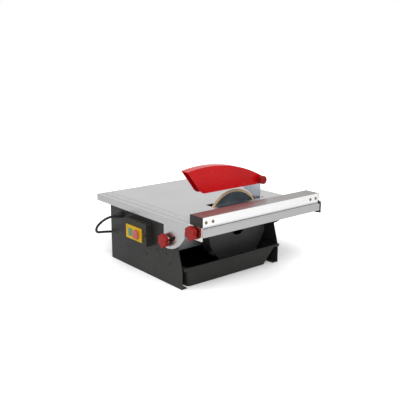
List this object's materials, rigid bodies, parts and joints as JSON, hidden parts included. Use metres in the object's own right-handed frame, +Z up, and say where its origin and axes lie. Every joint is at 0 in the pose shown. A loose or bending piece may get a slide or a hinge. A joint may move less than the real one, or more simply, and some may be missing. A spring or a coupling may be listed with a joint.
{
  "type": "tile cutter",
  "caption": "Bench tile cutter with a folded steel base, tilting sheet table, diamond blade under a red guard, sliding rip fence, water tray and mains switch.",
  "frame": {"origin": "on the bench, at the middle of the four bench holes in the feet of the base", "axes": "+X to the user's right, +Y the way the tile is fed, away from the user, +Z up"},
  "size_m": [0.485, 0.4484, 0.2617],
  "materials": {
    "base_paint": "dark grey powder coat, satin",
    "plate_steel": "zinc plated sheet",
    "table_steel": "rolled stainless sheet, satin",
    "zinc": "bright zinc plate",
    "bracket_steel": "polished bent strip",
    "motor_paint": "black paint",
    "cast_aluminium": "die cast",
    "machined_steel": "turned",
    "laminations": "stacked laminations",
    "copper": "lacquered copper wire",
    "fan_plastic": "moulded",
    "black_steel": "black paint",
    "capacitor_can": "moulded can",
    "blade_steel": "dark lapped steel",
    "diamond_rim": "sintered, gritty",
    "housing_plastic": "fine moulded texture",
    "knife_steel": "cold rolled",
    "guard_red": "high gloss",
    "spacer_plastic": "moulded",
    "knob_red": "moulded, satin",
    "tray_plastic": "fine moulded texture",
    "fence_aluminium": "extruded, natural",
    "cap_black": "moulded",
    "frame_yellow": "moulded",
    "button_green": "moulded",
    "button_red": "moulded",
    "cord_rubber": "rubber sheathed",
    "tie_black": "nylon strap",
    "brass": "machined"
  },
  "bodies": {
    "base": {"base_shell": "base_paint", "blade_housing": "housing_plastic", "blade_housing_cover": "housing_plastic", "button_springs": "zinc", "cord_boot": "cord_rubber", "cord_coil": "cord_rubber", "cord_tie": "tie_black", "fan_cover": "black_steel", "guard_bolt": "zinc", "guard_spacers": "spacer_plastic", "housing_screws": "zinc", "lock_nuts": "zinc", "motor_bearings": "machined_steel", "motor_casing": "motor_paint", "motor_end_shields": "cast_aluminium", "motor_mount_plate": "plate_steel", "motor_screws": "zinc", "motor_stator": "laminations", "motor_windings": "copper", "panel_rivets": "zinc", "plug_body": "cord_rubber", "plug_pins": "brass", "power_cord": "cord_rubber", "riving_knife": "knife_steel", "riving_knife_bolts": "zinc", "riving_knife_holder": "base_paint", "riving_knife_nuts": "zinc", "run_capacitor": "capacitor_can", "switch_box": "cap_black", "switch_frame": "frame_yellow", "switch_screws": "zinc", "tilt_bolt_front": "zinc", "tilt_bolt_rear": "zinc", "tilt_washers": "zinc"},
    "spindle": {"motor_rotor": "laminations", "arbor_shaft": "machined_steel", "cooling_fan": "fan_plastic", "blade_flange_inner": "machined_steel", "blade_flange_outer": "machined_steel", "arbor_nut": "zinc", "blade_core": "blade_steel", "blade_rim": "diamond_rim"},
    "table": {"table_top": "table_steel", "tilt_bracket_rear": "plate_steel", "tilt_pivot_pins": "zinc", "tilt_pivot_nuts": "zinc"},
    "fence": {"fence_profile": "fence_aluminium", "fence_end_caps": "cap_black", "fence_bracket_front": "bracket_steel", "fence_bracket_rear": "bracket_steel", "fence_foot_rear": "cap_black", "fence_screws": "zinc"},
    "fence_clamp": {"fence_clamp_screw": "zinc", "fence_clamp_knob": "knob_red"},
    "tilt_lock": {"tilt_knob": "knob_red"},
    "guard": {"blade_guard": "guard_red"},
    "guard_lock": {"guard_knob": "knob_red"},
    "tray": {"water_tray": "tray_plastic"},
    "on_button": {"on_button": "button_green"},
    "off_button": {"off_button": "button_red"}
  },
  "joints": [
    {"name": "spindle_spin", "type": "hinge", "parent": "base", "child": "spindle", "pos_m": [0.084, 0.0595, 0.102], "axis": [1, 0, 0], "continuous": true},
    {"name": "table_tilt", "type": "hinge", "parent": "base", "child": "table", "pos_m": [0.1, 0, 0.15], "axis": [0, 1, 0], "range_deg": [0, 45]},
    {"name": "fence_slide", "type": "slide", "parent": "table", "child": "fence", "axis": [1, 0, 0], "range_m": [-0.06, 0]},
    {"name": "fence_clamp_turn", "type": "hinge", "parent": "fence", "child": "fence_clamp", "pos_m": [0.203, -0.165, 0.15], "axis": [0, 1, 0], "continuous": true},
    {"name": "tilt_knob_turn", "type": "hinge", "parent": "base", "child": "tilt_lock", "pos_m": [0.1, -0.165, 0.108], "axis": [0, 1, 0], "continuous": true},
    {"name": "guard_swing", "type": "hinge", "parent": "base", "child": "guard", "pos_m": [0.084, 0.1365, 0.209], "axis": [-1, 0, 0], "range_deg": [-8, 55]},
    {"name": "guard_knob_turn", "type": "hinge", "parent": "base", "child": "guard_lock", "pos_m": [0.103, 0.1365, 0.209], "axis": [1, 0, 0], "continuous": true},
    {"name": "tray_slide", "type": "slide", "parent": "base", "child": "tray", "axis": [1, 0, 0], "range_m": [0, 0.17]},
    {"name": "on_button_push", "type": "slide", "parent": "base", "child": "on_button", "axis": [0, 1, 0], "range_m": [0, 0.0025], "stiffness_N_per_m": 300, "deforming": ["button_springs"]},
    {"name": "off_button_push", "type": "slide", "parent": "base", "child": "off_button", "axis": [0, 1, 0], "range_m": [0, 0.0025], "stiffness_N_per_m": 300, "deforming": ["button_springs"]}
  ]
}
